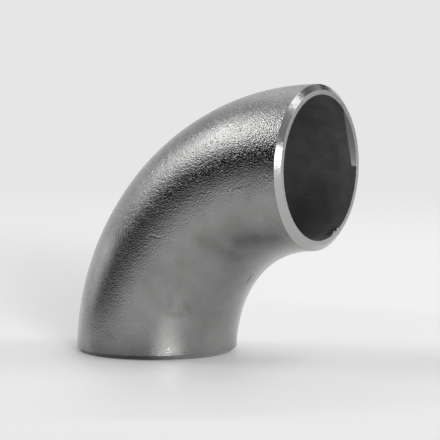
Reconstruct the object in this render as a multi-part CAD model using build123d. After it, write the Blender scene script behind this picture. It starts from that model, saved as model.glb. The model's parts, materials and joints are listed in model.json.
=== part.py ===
from build123d import *
from math import radians, tan
import os

# A butt-weld pipe elbow that turns a DN 40 stainless steel pipe run through 90 degrees.
# The real fitting is one piece of metal, pushed hot over a bent mandrel from a cut length of
# seamless tube, so it is one solid here. Its two ends are then turned square, bevelled for the
# weld, and bored round for a short way so that the mouth lines up with the pipe's bore.
#
# Sizes are in millimetres. The origin is the centre of the lower end's face, +Z runs up into
# that end, and the other end faces +X. The bend lies in the XZ plane.

OUTSIDE_DIAMETER = 48.3  # the same as the pipe's
WALL = 3.2
CENTRE_TO_END = 57.0  # from each end's face to the point where the two pipe axes cross
BEND_ANGLE = 90
TRUE_BORE_DIAMETER = 42.2  # the bored mouth, a little over the inside diameter of the pipe
TRUE_BORE_DEPTH = 2.5  # all round, this takes the bend out of the mouth
ROOT_FACE = 1.4  # width of the flat ring that is left at the end, inside the bevel
BEVEL_ANGLE = 40  # between the bevel and the plane of the end's face

OUTSIDE_RADIUS = OUTSIDE_DIAMETER / 2
INSIDE_RADIUS = OUTSIDE_RADIUS - WALL
BEND_RADIUS = CENTRE_TO_END  # a quarter bend with no straight length at its ends
TRUE_BORE_RADIUS = TRUE_BORE_DIAMETER / 2
ROOT_RADIUS = TRUE_BORE_RADIUS + ROOT_FACE  # where the flat ring meets the bevel
TOOL_OVERRUN = 2.0  # how far the bevelling cut runs clear of the outside


def bent_bar(radius):
    """A round bar of this radius, bent along the elbow's centreline."""
    bend_axis = Axis((BEND_RADIUS, 0, 0), (0, 1, 0))
    return revolve(Plane.XY * Circle(radius), bend_axis, BEND_ANGLE)


def bevel_waste():
    """The ring that bevelling takes off an end. The end's face is on XY and its metal above it."""
    far_radius = OUTSIDE_RADIUS + TOOL_OVERRUN
    rise = (far_radius - ROOT_RADIUS) * tan(radians(BEVEL_ANGLE))
    profile = Plane.XZ * Polygon((ROOT_RADIUS, 0), (far_radius, 0), (far_radius, rise), align=None)
    return revolve(profile, Axis.Z)


def boring_waste():
    """The plug that boring the mouth round takes out, on the same plane as bevel_waste."""
    align = (Align.CENTER, Align.CENTER, Align.MIN)
    return Cylinder(TRUE_BORE_RADIUS, TRUE_BORE_DEPTH, align=align)


def elbow():
    """The bent tube with both of its ends machined."""
    bent_tube = bent_bar(OUTSIDE_RADIUS) - bent_bar(INSIDE_RADIUS)
    lower_end = Plane.XY
    upper_end = Plane(origin=(CENTRE_TO_END, 0, CENTRE_TO_END), x_dir=(0, 0, 1), z_dir=(-1, 0, 0))
    for end in (lower_end, upper_end):
        bent_tube -= end * bevel_waste()
        bent_tube -= end * boring_waste()
    return bent_tube


os.makedirs("parts", exist_ok=True)
export_step(elbow(), "parts/elbow.step")
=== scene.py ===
import json
import math

import bmesh
import bpy
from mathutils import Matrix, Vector


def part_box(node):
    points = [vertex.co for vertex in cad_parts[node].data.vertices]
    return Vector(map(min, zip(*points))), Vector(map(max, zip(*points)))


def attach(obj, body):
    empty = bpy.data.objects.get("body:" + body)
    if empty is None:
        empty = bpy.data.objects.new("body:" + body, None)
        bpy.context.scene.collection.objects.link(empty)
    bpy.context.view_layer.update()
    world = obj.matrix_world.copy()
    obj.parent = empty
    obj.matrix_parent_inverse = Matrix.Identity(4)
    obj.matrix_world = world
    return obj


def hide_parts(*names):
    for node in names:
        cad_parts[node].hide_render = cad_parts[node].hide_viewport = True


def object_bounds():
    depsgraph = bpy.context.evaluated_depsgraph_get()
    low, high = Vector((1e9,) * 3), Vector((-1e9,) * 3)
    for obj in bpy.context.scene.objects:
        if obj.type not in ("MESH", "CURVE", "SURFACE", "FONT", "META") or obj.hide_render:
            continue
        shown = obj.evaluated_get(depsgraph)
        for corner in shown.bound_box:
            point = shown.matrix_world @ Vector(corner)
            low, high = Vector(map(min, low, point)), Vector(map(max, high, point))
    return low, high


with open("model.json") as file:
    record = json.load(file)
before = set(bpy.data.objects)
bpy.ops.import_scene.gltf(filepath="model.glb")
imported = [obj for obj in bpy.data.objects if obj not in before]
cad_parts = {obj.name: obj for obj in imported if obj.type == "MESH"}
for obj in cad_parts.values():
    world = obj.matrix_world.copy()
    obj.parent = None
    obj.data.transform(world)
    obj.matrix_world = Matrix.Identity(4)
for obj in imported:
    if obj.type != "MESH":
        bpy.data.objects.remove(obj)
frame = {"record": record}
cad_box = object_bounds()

# ---------------------------------------------------------------------------------------------
# The elbow: one length of seamless stainless steel tube, pushed hot over a bent mandrel, then
# blasted and pickled. Its two ends are turned square in a lathe, bevelled for the weld and bored.
# It is one piece of metal, so it is one mesh, with a finish for each way that its surface is made.

MM = 0.001
WALL = 3.2 * MM
ROOT_FACE = 1.4 * MM  # the width of the flat ring at each end, between the bevel and the bore
BEVEL_ANGLE = math.radians(40)  # between the bevel and the flat of the end

mouths = {mount["name"]: mount for mount in frame["record"]["mounts"]}
elbow_low, elbow_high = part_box("elbow")
outside_radius = (elbow_high.y - elbow_low.y) / 2
centre_to_end = mouths["upper_mouth"]["pos_m"][0]
bore_radius = mouths["lower_mouth"]["dims"]["r_mm"] * MM
bore_depth = mouths["lower_mouth"]["dims"]["length_mm"] * MM
inside_radius = outside_radius - WALL
root_radius = bore_radius + ROOT_FACE
bevel_setback = (outside_radius - root_radius) * math.tan(BEVEL_ANGLE)
bend_centre = Vector((centre_to_end, 0, 0))

ends = {
    "lower": {"face": Vector((0, 0, 0)), "inward": Vector((0, 0, 1)), "turn": (0, 0, 0)},
    "upper": {"face": Vector((centre_to_end, 0, centre_to_end)), "inward": Vector((-1, 0, 0)),
              "turn": (0, -math.pi / 2, 0)},
}

RING = 264  # facets round the tube
OUTER_STEPS = 150  # facets along the outer skin
INNER_STEPS = 90
OUTER_START = math.radians(3)  # how far round the bend the outer skin starts, clear of the bevel
INNER_START = math.radians(5)  # and the inner skin, clear of the bored mouth
NEAR_END = 9 * MM  # an open edge that near an end belongs to it, or to the skin beside it


def on_bend(angle):
    """The point of the tube's centreline that far round the bend."""
    return bend_centre + Vector((-centre_to_end * math.cos(angle), 0, centre_to_end * math.sin(angle)))


def spin_round_bend(start, steps):
    """Spins the selected ring round the bend, from start to as far from the other end."""
    bpy.ops.mesh.spin(steps=steps, angle=2 * start - math.pi / 2, center=bend_centre, axis=(0, 1, 0))


def grow(scale=1, centre=(0, 0, 0), move=(0, 0, 0)):
    """Extrudes the selected ring, scales the new one about a centre and moves it."""
    bpy.ops.mesh.extrude_region_move()
    bpy.ops.transform.resize(value=(scale, scale, scale), center_override=centre)
    bpy.ops.transform.translate(value=move)


def turned_end(end):
    """The bevel, the root face and the bored mouth of one end, from the outside in."""
    bevel_edge = end["face"] + end["inward"] * bevel_setback
    bpy.ops.mesh.select_all(action="DESELECT")
    bpy.ops.mesh.primitive_circle_add(vertices=RING, radius=outside_radius, location=bevel_edge,
                                      rotation=end["turn"])
    grow(root_radius / outside_radius, bevel_edge, -end["inward"] * bevel_setback)
    grow(bore_radius / root_radius, end["face"])
    grow(move=end["inward"] * bore_depth)


def from_axis(point, end):
    """How far a point is from the axis of an end, and how deep it is inside that end."""
    arm = point - end["face"]
    depth = arm.dot(end["inward"])
    return (arm - end["inward"] * depth).length, depth


def close_gap(end, outside):
    """Bridges the outer or the inner skin to the turned end beside it."""
    bpy.ops.mesh.select_all(action="DESELECT")
    mesh = bmesh.from_edit_mesh(elbow.data)
    for edge in mesh.edges:
        radius, depth = from_axis((edge.verts[0].co + edge.verts[1].co) / 2, end)
        if edge.is_boundary and depth < NEAR_END and (radius > root_radius) == outside:
            edge.select_set(True)
    bpy.ops.mesh.bridge_edge_loops()


bpy.ops.object.select_all(action="DESELECT")
bpy.ops.mesh.primitive_circle_add(vertices=RING, radius=outside_radius, location=on_bend(OUTER_START),
                                  rotation=(0, OUTER_START, 0))
elbow = bpy.context.object
elbow.name = "blasted_steel_elbow"
bpy.ops.object.transform_apply()
bpy.ops.object.mode_set(mode="EDIT")
bpy.ops.mesh.select_all(action="SELECT")
spin_round_bend(OUTER_START, OUTER_STEPS)
bpy.ops.mesh.select_all(action="DESELECT")
bpy.ops.mesh.primitive_circle_add(vertices=RING, radius=inside_radius, location=on_bend(INNER_START),
                                  rotation=(0, INNER_START, 0))
spin_round_bend(INNER_START, INNER_STEPS)
for end in ends.values():
    turned_end(end)
    close_gap(end, outside=True)
    close_gap(end, outside=False)
bpy.ops.mesh.select_all(action="SELECT")
bpy.ops.mesh.remove_doubles(threshold=0.01 * MM)
bpy.ops.mesh.normals_make_consistent(inside=False)

# Scratches, nicks, smudges and one shallow dent in the skin, and painted shade: painted shade in the waist of
# the bend, a painted contact shadow along the foot's lip and a painted dark reflection in the dent. Each mark
# runs straight between two places, given in degrees round the bend and round the tube, from its back to -Y.
# Then come its width and depth in mm, and how far it darkens the skin (a real stain on the nick, the wrinkle
# and the smudges, painted shade on the others): 1 darkens the skin by the whole step from its lighter colour
# to its darker one. A mark with no depth only darkens.
marks = {
    "scratch": ((40.6, 90), (42.5, 97), 0.25, 0.06, 0),
    "nick_inside": ((42.6, 178), (48.2, 175), 0.3, 0.10, 1.5),
    "wrinkle": ((73.5, 97), (80.2, 97), 0.3, 0.04, 0.5),
    "bright_nick": ((75.7, 77), (77.2, 75), 0.25, 0.07, 0),
    "mouth_scratch": ((85.2, 91.4), (87.4, 95.4), 0.2, 0.05, 0),
    "smudge_down": ((26.4, 123.3), (22.2, 127.1), 1.0, 0, 0.45),
    "smudge_across": ((19.1, 127), (19.7, 135.7), 1.0, 0, 0.5),
    "smudge_up": ((21.8, 142), (25.4, 136.8), 1.0, 0, 0.4),
    # A real shallow dent, and its stain is a painted dark reflection of the shadowed floor beside the foot,
    # which the flank there faces.
    "dent": ((53, 119), (57, 147), 2.4, 0.09, 0.6),
    # Painted shade, towards the inside of the bend at its waist; it has no depth.
    "waist_shade": ((65, 135), (78, 142), 3.6, 0, 0.95),
    # Painted contact shadow along the foot's lip where it meets the floor, on both the skin and the lower
    # bevel.
    "lip_grime_back": ((0.6, 35), (0.6, 75), 3.2, 0, 0.8),
    "lip_grime_side": ((0.6, 75), (0.6, 115), 5.0, 0, 0.9),
}
THIN = 1  # mm: a mark thinner than this needs finer facets
MARK_MARGIN = 1.1 * MM  # how far those finer facets reach either side of it
MARK_REACH = 2.5  # how many of its own widths a mark fades out over


def on_skin(bend_angle, tube_angle):
    """The point of the skin that many degrees round the bend and round the tube."""
    out = (on_bend(math.radians(bend_angle)) - bend_centre) / centre_to_end
    turn = math.radians(tube_angle)
    return bend_centre + out * (centre_to_end + outside_radius * math.cos(turn)) - Vector(
        (0, outside_radius * math.sin(turn), 0))


def from_line(point, line):
    """How far a point is from a straight line between two ends."""
    start, run = line[0], line[1] - line[0]
    along = min(max((point - start).dot(run) / run.dot(run), 0), 1)
    return (point - start - run * along).length


def refine_near(line, distance):
    """Cuts the faces of the elbow whose middles are that near a line into smaller ones."""
    bpy.ops.mesh.select_all(action="DESELECT")
    for face in bmesh.from_edit_mesh(elbow.data).faces:
        if from_line(face.calc_center_median(), line) < distance:
            face.select_set(True)
    bpy.ops.mesh.subdivide(number_cuts=3)


mark_lines = {name: (on_skin(*start), on_skin(*finish)) for name, (start, finish, *_) in marks.items()}
for name, (_, _, width, _, _) in marks.items():
    if width < THIN:
        refine_near(mark_lines[name], MARK_MARGIN)

# The boring tool has left a ragged burr on the far side of the upper mouth's lip. Each tooth has its
# angle below +Y in degrees, and how far it stands in from the lip in mm.
BURR_TEETH = ((59, 0.3), (62, 0.7), (65, 0.4), (68, 0.8), (71, 0.4))
BURR_FROM, BURR_TO = 58, 72  # the stretch of lip that it needs finer facets on
BURR_MARGIN = 1.2 * MM
TOOTH_TIP = 0.2 * MM  # how near the lip's point a corner is moved all the way
TOOTH_SPREAD = 0.9 * MM  # how far from it the tooth fades out
upper_face = ends["upper"]["face"]


def on_lip(angle):
    """The point of the upper mouth's lip that many degrees below +Y."""
    turn = math.radians(angle)
    return upper_face + Vector((0, math.cos(turn), -math.sin(turn))) * bore_radius


refine_near((on_lip(BURR_FROM), on_lip(BURR_TO)), BURR_MARGIN)
for angle, height in BURR_TEETH:
    lip = on_lip(angle)
    bpy.ops.mesh.select_all(action="DESELECT")
    mesh = bmesh.from_edit_mesh(elbow.data)
    for vert in mesh.verts:
        if (vert.co - lip).length < TOOTH_TIP:
            vert.select_set(True)
    mesh.select_flush_mode()
    stand_in = (upper_face - lip).normalized() * height * MM
    bpy.ops.transform.translate(value=stand_in, use_proportional_edit=True, proportional_size=TOOTH_SPREAD,
                                proportional_edit_falloff="SHARP")
bpy.ops.object.mode_set(mode="OBJECT")

# Each mark gets a vertex group, which its dent or scratch is pressed in by, and the stains and painted shade
# go into an attribute, which the finishes read.
stain_on = [0.0] * len(elbow.data.vertices)
for name, (_, _, width, _, stain) in marks.items():
    points = elbow.vertex_groups.new(name=name)
    for point in elbow.data.vertices:
        away = from_line(point.co, mark_lines[name]) / (width * MM)
        if away < MARK_REACH:
            strength = math.exp(-away * away)
            points.add([point.index], strength, "REPLACE")
            stain_on[point.index] = max(stain_on[point.index], stain * strength)
elbow.data.attributes.new("stain", "FLOAT", "POINT").data.foreach_set("value", stain_on)

# Hot forming leaves the middle of the bend a little thin in the waist, and the skin uneven. Close to
# the ends, which are turned, the tube is true.
WAIST = 0.35 * MM
WAVE_HEIGHT = 0.10 * MM
WAVE_LENGTH = 14 * MM
TRUE_LENGTH = 3 * MM  # how far in from each end the tube is true
TRUE_FADE = 5 * MM  # and how much further in the skin is fully uneven
SHARP = math.radians(30)  # an edge sharper than this is left sharp by the shading, and then broken
BROKEN_EDGE = 0.10 * MM

skin_points = elbow.vertex_groups.new(name="formed_skin")
waist_points = elbow.vertex_groups.new(name="waist")
for point in elbow.data.vertices:
    radius, depth = min((from_axis(point.co, end) for end in ends.values()), key=lambda place: place[1])
    bend_angle = math.atan2(point.co.z, centre_to_end - point.co.x)
    skin_points.add([point.index], min(max((depth - TRUE_LENGTH) / TRUE_FADE, 0), 1), "REPLACE")
    thinned = math.sin(2 * bend_angle) ** 2 if depth > TRUE_LENGTH else 0
    waist_points.add([point.index], thinned, "REPLACE")


def shaped_by(kind, name, settings):
    """Adds a modifier to the elbow and applies it."""
    modifier = elbow.modifiers.new(name, kind)
    for key, value in settings.items():
        setattr(modifier, key, value)
    bpy.ops.object.modifier_apply(modifier=name)


slow_waves = bpy.data.textures.new("forming_waves", "CLOUDS")
slow_waves.noise_scale = WAVE_LENGTH
slow_waves.noise_depth = 1
bpy.context.view_layer.objects.active = elbow
elbow.select_set(True)
bpy.ops.object.shade_smooth_by_angle(angle=SHARP)
shaped_by("DISPLACE", "waist", {"strength": -WAIST, "mid_level": 0, "vertex_group": "waist"})
shaped_by("DISPLACE", "waves", {"strength": WAVE_HEIGHT, "texture": slow_waves,
                                "texture_coords": "LOCAL", "vertex_group": "formed_skin"})
for name, (_, _, _, depth, _) in marks.items():
    if depth:
        shaped_by("DISPLACE", name, {"strength": -depth * MM, "mid_level": 0, "vertex_group": name})
shaped_by("BEVEL", "broken_edges", {"width": BROKEN_EDGE, "segments": 2, "limit_method": "ANGLE",
                                    "angle_limit": SHARP, "harden_normals": True})
elbow.vertex_groups.clear()


def linear(hex_colour):
    """An sRGB hex colour as linear red, green, blue and alpha."""
    channels = [int(hex_colour[i:i + 2], 16) / 255 for i in (1, 3, 5)]
    return [c / 12.92 if c <= 0.04045 else ((c + 0.055) / 1.055) ** 2.4 for c in channels] + [1]


def add(tree, kind, settings=None, **links):
    """Adds a node with its settings, and links its inputs to sockets. An input is named, with _ for a
    space, or numbered, as i0."""
    new = tree.nodes.new("ShaderNode" + kind)
    for name, value in (settings or {}).items():
        if isinstance(name, int) or name in new.inputs:
            new.inputs[name].default_value = value
        else:
            setattr(new, name, value)
    for name, socket in links.items():
        name = name.replace("_", " ")
        tree.links.new(socket, new.inputs[int(name[1:]) if name[0] == "i" and name[1:].isdigit() else name])
    return new


def metal(name, settings):
    """A new material that is all metal, with constant settings on its shader."""
    material = bpy.data.materials.new(name)
    material.use_nodes = True
    shader = material.node_tree.nodes["Principled BSDF"]
    shader.inputs["Metallic"].default_value = 1
    for socket, value in settings.items():
        shader.inputs[socket].default_value = value
    return material.node_tree, shader, material


NOISE_LOW, NOISE_HIGH = 0.3, 0.7  # where most of a noise lies


def uneven(tree, where, size, low, high, detail=2):
    """A value that wanders between low and high in patches of about a size."""
    patches = add(tree, "TexNoise", {"Scale": 1 / size, "Detail": detail}, Vector=where)
    span = add(tree, "MapRange", {"From Min": NOISE_LOW, "From Max": NOISE_HIGH, "To Min": low,
                                  "To Max": high}, Value=patches.outputs["Fac"])
    return span.outputs["Result"]


# Blasted and pickled stainless: steel shot leaves fine dimples that glitter where a light's edge
# falls, and the acid leaves the skin a dull, slightly blotchy grey. The dimples are drawn as coarse
# as they need to be to show. They are shallower low on the skin, apart from the front of the foot.
DIMPLE = 0.45 * MM
PIT, PIT_DEPTH = 0.4 * MM, 0.03 * MM
RIPPLE, RIPPLE_DEPTH = 3.5 * MM, 0.02 * MM
BLOTCH = 16 * MM
CLOUD = 5 * MM
GLOSS_PATCH = 4 * MM
SHALLOW_BELOW, FULL_ABOVE = 15 * MM, 45 * MM
FOOT_FROM, FOOT_TO = 5 * MM, 14 * MM  # how far from the front of the foot the dimples fade
front_of_foot = on_skin(4, 129)


def blasted(name, colour_dark, colour_light, roughness, dimple_depth):
    tree, shader, material = metal(name, {})
    where = add(tree, "TexCoord").outputs["Object"]
    dimples = add(tree, "TexVoronoi", {"Scale": 1 / DIMPLE}, Vector=where)
    bowls = add(tree, "Math", {"operation": "POWER", 1: 2}, i0=dimples.outputs["Distance"])

    blotches = uneven(tree, where, BLOTCH, 0.1, 0.7)
    clouds = uneven(tree, where, CLOUD, -0.15, 0.25, detail=4)
    # This attribute darkens the skin: real stains at the nick, wrinkle and smudges, and painted shade and a
    # painted reflection at the other marks.
    stain = add(tree, "Attribute", {"attribute_name": "stain"}).outputs["Fac"]
    cloudy = add(tree, "Math", {"operation": "ADD"}, i0=blotches, i1=clouds).outputs[0]
    clean = add(tree, "Math", {"operation": "SUBTRACT"}, i0=cloudy, i1=stain).outputs[0]
    rims = add(tree, "Math", {"operation": "MULTIPLY_ADD", 1: 0.5}, i0=bowls.outputs[0], i2=clean)
    colour = add(tree, "Mix", {"data_type": "RGBA", "clamp_factor": False, 6: linear(colour_dark),
                               7: linear(colour_light)}, i0=rims.outputs[0])
    tree.links.new(colour.outputs[2], shader.inputs["Base Color"])
    gloss = uneven(tree, where, GLOSS_PATCH, roughness - 0.02, roughness + 0.04)
    tree.links.new(gloss, shader.inputs["Roughness"])

    pits = add(tree, "TexNoise", {"Scale": 1 / PIT, "Detail": 1}, Vector=where)
    ripples = add(tree, "TexNoise", {"Scale": 1 / RIPPLE, "Detail": 1}, Vector=where)
    rippled = add(tree, "Bump", {"Strength": 1, "Distance": RIPPLE_DEPTH}, Height=ripples.outputs["Fac"])
    pitted = add(tree, "Bump", {"Strength": 1, "Distance": PIT_DEPTH}, Height=pits.outputs["Fac"],
                 Normal=rippled.outputs["Normal"])
    height = add(tree, "SeparateXYZ", {}, Vector=where).outputs["Z"]
    by_height = add(tree, "MapRange", {"From Min": SHALLOW_BELOW, "From Max": FULL_ABOVE, "To Min": 0.25,
                                       "To Max": 1}, Value=height)
    from_foot = add(tree, "VectorMath", {"operation": "DISTANCE", 1: front_of_foot}, i0=where)
    by_foot = add(tree, "MapRange", {"From Min": FOOT_FROM, "From Max": FOOT_TO, "To Min": 0.6,
                                     "To Max": 0.2}, Value=from_foot.outputs["Value"])
    strength = add(tree, "Math", {"operation": "MAXIMUM"}, i0=by_height.outputs[0], i1=by_foot.outputs[0])
    dimpled = add(tree, "Bump", {"Distance": dimple_depth}, Height=bowls.outputs[0],
                  Normal=pitted.outputs["Normal"], Strength=strength.outputs[0])
    tree.links.new(dimpled.outputs["Normal"], shader.inputs["Normal"])
    return material


# Turned stainless: the tool leaves fine rings, which draw each reflection out into a spoke across the bevel,
# and a little chatter breaks it up. Painted shade darkens it where the attribute is set: a painted contact
# shadow along the lower end's lip, where it meets the floor.
# The colour of the painted contact shadow on a turned end.
GRIME = "#565655"
QUARTER_TURN = 0.25  # the reflections are drawn out across the rings, not along them
RING_PITCH, RING_DEPTH = 0.18 * MM, 0.006 * MM
CHATTER, CHATTER_DEPTH = 1.3 * MM, 0.06 * MM


def turned(name, end, colour, roughness, anisotropy):
    tree, shader, material = metal(name, {"Anisotropic": anisotropy, "Anisotropic Rotation": QUARTER_TURN,
                                         "Roughness": roughness})
    where = add(tree, "TexCoord").outputs["Object"]
    stain = add(tree, "Attribute", {"attribute_name": "stain"}).outputs["Fac"]
    grimy = add(tree, "Mix", {"data_type": "RGBA", 6: linear(colour), 7: linear(GRIME)}, i0=stain)
    tree.links.new(grimy.outputs[2], shader.inputs["Base Color"])

    arm = add(tree, "VectorMath", {"operation": "SUBTRACT", 1: end["face"]}, i0=where).outputs[0]
    round_axis = add(tree, "VectorMath", {"operation": "CROSS_PRODUCT", 1: end["inward"]}, i0=arm).outputs[0]
    radius = add(tree, "VectorMath", {"operation": "LENGTH"}, i0=round_axis).outputs["Value"]
    depth = add(tree, "VectorMath", {"operation": "DOT_PRODUCT", 1: end["inward"]}, i0=arm).outputs["Value"]
    along_cut = add(tree, "Math", {"operation": "ADD"}, i0=radius, i1=depth).outputs[0]
    rings = add(tree, "TexNoise", {"noise_dimensions": "1D", "Scale": 1 / RING_PITCH, "Detail": 2},
                W=along_cut)
    chatter = add(tree, "TexNoise", {"Scale": 1 / CHATTER, "Detail": 2}, Vector=where)
    ringed = add(tree, "Bump", {"Strength": 1, "Distance": RING_DEPTH}, Height=rings.outputs["Fac"])
    chattered = add(tree, "Bump", {"Strength": 1, "Distance": CHATTER_DEPTH}, Height=chatter.outputs["Fac"],
                    Normal=ringed.outputs["Normal"])
    tree.links.new(chattered.outputs["Normal"], shader.inputs["Normal"])
    tree.links.new(round_axis, shader.inputs["Tangent"])
    return material


# Bored stainless, with painted light: a brighter crescent is painted on the far wall of the mouth for light
# that falls in through it, reaching deepest a little above the far side. Its slanting edge is the painted
# edge of the lip's shadow, and it stops just below the middle of the mouth. The rest of the wall is dull.
DEEPEST = math.radians(17)  # above +Y
CUT_SLOPE = 0.597  # how much deeper the painted light reaches for each mm nearer its deepest side
CUT_FROM, CUT_TO = 10.15 * MM, 10.5 * MM  # the slanting edge of the painted light, at the lip's painted shadow, dull to bright
SIDE_FROM, SIDE_TO = -0.7 * MM, -0.3 * MM  # and its lower end, measured up from the mouth's middle


def bored(name, end):
    # The brighter crescent, in a lighter colour: painted light.
    material = turned(name, end, "#B8B8B7", 0.5, 0.8)
    tree = material.node_tree
    cut = tree.nodes["Principled BSDF"]
    dull = add(tree, "BsdfPrincipled", {"Metallic": 1, "Base Color": linear("#858584"), "Roughness": 0.55})
    arm = add(tree, "VectorMath", {"operation": "SUBTRACT", 1: end["face"]},
              i0=add(tree, "TexCoord").outputs["Object"]).outputs[0]
    slant = Vector((0, math.cos(DEEPEST), math.sin(DEEPEST))) * CUT_SLOPE - end["inward"]
    reach = add(tree, "VectorMath", {"operation": "DOT_PRODUCT", 1: slant}, i0=arm)
    side = add(tree, "VectorMath", {"operation": "DOT_PRODUCT", 1: Vector((0, 0, 1))}, i0=arm)
    in_reach = add(tree, "MapRange", {"From Min": CUT_FROM, "From Max": CUT_TO},
                   Value=reach.outputs["Value"])
    in_side = add(tree, "MapRange", {"From Min": SIDE_FROM, "From Max": SIDE_TO},
                  Value=side.outputs["Value"])
    both = add(tree, "Math", {"operation": "MULTIPLY"}, i0=in_reach.outputs[0], i1=in_side.outputs[0])
    wall = add(tree, "MixShader", {}, i0=both.outputs[0], i1=dull.outputs[0], i2=cut.outputs[0])
    tree.links.new(wall.outputs[0], tree.nodes["Material Output"].inputs["Surface"])
    return material


SKIN, BORE, LOWER_END, UPPER_END, UPPER_MOUTH = range(5)
finishes = [
    blasted("blasted_pickled_stainless", "#848483", "#9C9C9B", 0.17, 0.08 * MM),
    blasted("pickled_stainless_bore", "#80807F", "#8A8A89", 0.55, 0.03 * MM),
    # The lower end's turned finish is darker than the upper's: painted shade, for its bevel that lies in
    # shadow at the floor.
    turned("turned_stainless_lower_with_painted_shade", ends["lower"], "#9C9C9B", 0.35, 0.4),
    turned("turned_stainless_upper", ends["upper"], "#B4B4B3", 0.28, 0.6),
    bored("bored_stainless_upper_with_painted_light", ends["upper"]),
]
for finish in finishes:
    elbow.data.materials.append(finish)

# Each face takes its finish from its place. The burr stands in from the upper bore, and is as bright
# as the turned end that it hangs from.
BORE_SLACK = 0.1 * MM
BEVEL_SLACK = 0.02 * MM
WALL_SLACK = 1 * MM
BURR_DEPTH = 1 * MM
for face in elbow.data.polygons:
    face.material_index = SKIN
    places = [from_axis(face.center, end) for end in ends.values()]
    radius, depth = min(places, key=lambda place: place[1])
    upper = places[1][1] < places[0][1]
    from_bend = math.hypot(centre_to_end - face.center.x, face.center.z) - centre_to_end
    inside = math.hypot(from_bend, face.center.y) < inside_radius + WALL_SLACK
    if depth > bevel_setback and inside:
        face.material_index = UPPER_MOUTH if upper and depth < bore_depth else BORE
    elif depth < bevel_setback - BEVEL_SLACK and radius > bore_radius + BORE_SLACK:
        face.material_index = UPPER_END if upper else LOWER_END
    elif upper and depth < BURR_DEPTH and radius < bore_radius - BORE_SLACK:
        face.material_index = UPPER_END
    elif depth < bore_depth and radius < root_radius:
        face.material_index = UPPER_MOUTH if upper else BORE

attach(elbow, "root")
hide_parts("elbow")

# ---------------------------------------------------------------------------------------------
# The floor: a wide sheet of pale matt paper, which fades into the backdrop's own tone far off. It
# has a little sheen close to the elbow, and none further out, where it would mirror the card.

PALE = "#E6E6E6"
PAPER = "#E2E2E2"
FADE_FROM, FADE_TO = 0.35, 0.8  # metres from the elbow
SHEEN_FROM, SHEEN_TO = 0.07, 0.13

bpy.ops.object.select_all(action="DESELECT")
bpy.ops.mesh.primitive_circle_add(vertices=128, radius=6, fill_type="NGON", location=(0, 0, 0))
floor = bpy.context.object
floor.name = "paper_floor"
paper = bpy.data.materials.new("matt_paper")
paper.use_nodes = True
tree = paper.node_tree
shader = tree.nodes["Principled BSDF"]
shader.inputs["Base Color"].default_value = linear(PAPER)
shader.inputs["Roughness"].default_value = 0.5
where = add(tree, "TexCoord").outputs["Object"]
away = add(tree, "VectorMath", {"operation": "LENGTH"}, i0=where).outputs["Value"]
fade = add(tree, "MapRange", {"From Min": FADE_FROM, "From Max": FADE_TO,
                              "interpolation_type": "SMOOTHSTEP"}, Value=away)
sheen = add(tree, "MapRange", {"From Min": SHEEN_FROM, "From Max": SHEEN_TO, "To Min": 0.5, "To Max": 0},
            Value=away)
tree.links.new(sheen.outputs["Result"], shader.inputs["Specular IOR Level"])
glow = add(tree, "Emission", {"Color": linear(PALE)})
sheet = add(tree, "MixShader", {}, i0=fade.outputs["Result"], i1=shader.outputs[0], i2=glow.outputs[0])
tree.links.new(sheet.outputs[0], tree.nodes["Material Output"].inputs["Surface"])
floor.data.materials.append(paper)

# ---------------------------------------------------------------------------------------------
# The grey card: a sheet of grey board that lies on the floor, to the left as the camera sees it, so
# that the elbow's lower flank has something dark to reflect. Only reflections see it.

AZIMUTH = math.radians(32.24)  # how far the camera stands round from -Y, towards +X
CARD_SIZE = (0.46, 0.45, 1)
CARD_PLACE = (-0.37, -0.075, 0.5 * MM)  # right of the elbow, behind it and up, as the camera sees it

bpy.ops.object.select_all(action="DESELECT")
bpy.ops.mesh.primitive_plane_add(size=1, location=(0, 0, 0))
card = bpy.context.object
card.name = "grey_card"
bpy.ops.object.mode_set(mode="EDIT")
bpy.ops.mesh.select_all(action="SELECT")
bpy.ops.transform.resize(value=CARD_SIZE, center_override=(0, 0, 0))
bpy.ops.transform.translate(value=CARD_PLACE)
bpy.ops.transform.rotate(value=-AZIMUTH, orient_axis="Z", center_override=(0, 0, 0))
bpy.ops.object.mode_set(mode="OBJECT")
grey = bpy.data.materials.new("grey_board")
grey.use_nodes = True
shader = grey.node_tree.nodes["Principled BSDF"]
shader.inputs["Base Color"].default_value = linear("#808080")
shader.inputs["Roughness"].default_value = 0.8
card.data.materials.append(grey)
card.visible_camera = False
card.visible_diffuse = False
card.visible_shadow = False

# ---------------------------------------------------------------------------------------------
# The backdrop: an even pale tone that only the camera sees, so that the metal reflects the lights,
# the floor and the card alone.

backdrop = bpy.data.worlds.new("backdrop")
backdrop.use_nodes = True
backdrop.node_tree.nodes["Background"].inputs["Color"].default_value = linear(PALE)
backdrop.cycles_visibility.glossy = False
backdrop.cycles_visibility.diffuse = False
bpy.context.scene.world = backdrop
bpy.context.scene.view_settings.view_transform = "Standard"

# ---------------------------------------------------------------------------------------------
# The camera, near the height of the object, a third of the way round from its side to its mouth.

ELEVATION = math.radians(4.66)
DISTANCE = 0.700
AIM = Vector((7.9, -2.8, 0.1)) * MM  # where it looks, from the middle of the object

box_middle = (cad_box[0] + cad_box[1]) / 2
back = Vector((math.sin(AZIMUTH) * math.cos(ELEVATION), -math.cos(AZIMUTH) * math.cos(ELEVATION),
               math.sin(ELEVATION)))
camera = bpy.data.objects.new("camera", bpy.data.cameras.new("camera"))
bpy.context.collection.objects.link(camera)
camera.location = box_middle + AIM + back * DISTANCE
camera.rotation_euler = back.to_track_quat("Z", "Y").to_euler()
camera.data.lens = 194
camera.data.clip_start = 0.01
bpy.context.scene.camera = camera

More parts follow.
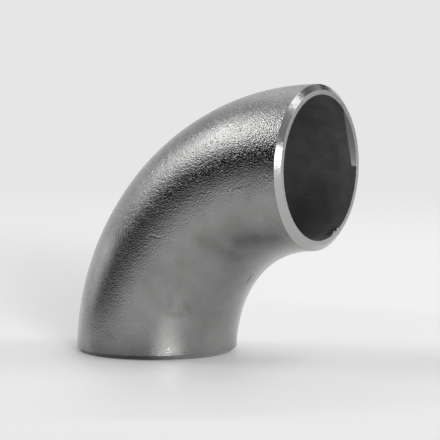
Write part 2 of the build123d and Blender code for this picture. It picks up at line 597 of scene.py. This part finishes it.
# ---------------------------------------------------------------------------------------------
# The lights: soft panels, placed by how far round they are from the camera, to the right, and how
# high up, with the size that the object sees, all in degrees. The last three light only the floor,
# and the fill keeps the metal from reflecting black where no other panel stands.

PANEL_DISTANCE = 1.2
FAR_OFF = 5  # metres: a low bright panel this far off lights the floor evenly, near and far


def panel(name, around, height, width, tall, brightness, distance=PANEL_DISTANCE):
    """A soft panel that faces the object. Its brightness is its radiance."""
    heading = math.radians(around) + AZIMUTH - math.pi / 2
    rise = math.radians(height)
    towards = Vector((math.cos(heading) * math.cos(rise), math.sin(heading) * math.cos(rise), math.sin(rise)))
    light = bpy.data.lights.new(name, "AREA")
    light.shape = "RECTANGLE"
    light.size = 2 * distance * math.tan(math.radians(width / 2))
    light.size_y = 2 * distance * math.tan(math.radians(tall / 2))
    light.energy = brightness * math.pi * light.size * light.size_y
    lamp = bpy.data.objects.new(name, light)
    bpy.context.collection.objects.link(lamp)
    lamp.location = box_middle + towards * distance
    lamp.rotation_euler = towards.to_track_quat("Z", "Y").to_euler()
    lamp.visible_camera = False
    return lamp


panel("front_right_window", 15, 9.5, 20, 10, 38, distance=FAR_OFF)
panel("front_right_curtain", 38, 15, 12, 9, 5)
panel("front_fill", 20, 50, 80, 40, 0.3)
panel("left_softbox", -100, 34, 30, 21, 2.7)
panel("left_softbox_core", -96, 46, 26, 16, 2.8)
panel("left_skirt", -112, 8, 26, 10, 0.5)
panel("left_overhead", -128, 60, 40, 22, 0.9)
panel("back_left_wall", -145, 38, 56, 28, 0.5)
panel("back_wall", -165, 12, 110, 26, 0.8)
panel("back_right_wall", 165, 45, 50, 26, 0.9)
panel("right_window", 86, 48, 16, 10, 4)
panel("right_overhead", 100, 72, 40, 20, 2.9)
panel("right_wall", 95, 18, 50, 26, 1.2)
panel("floor_key", 15, 8, 13, 7, 92, distance=FAR_OFF).visible_glossy = False
panel("floor_side", 90, 30, 30, 20, 3.2).visible_glossy = False
panel("floor_back", 180, 40, 60, 30, 0.5).visible_glossy = False
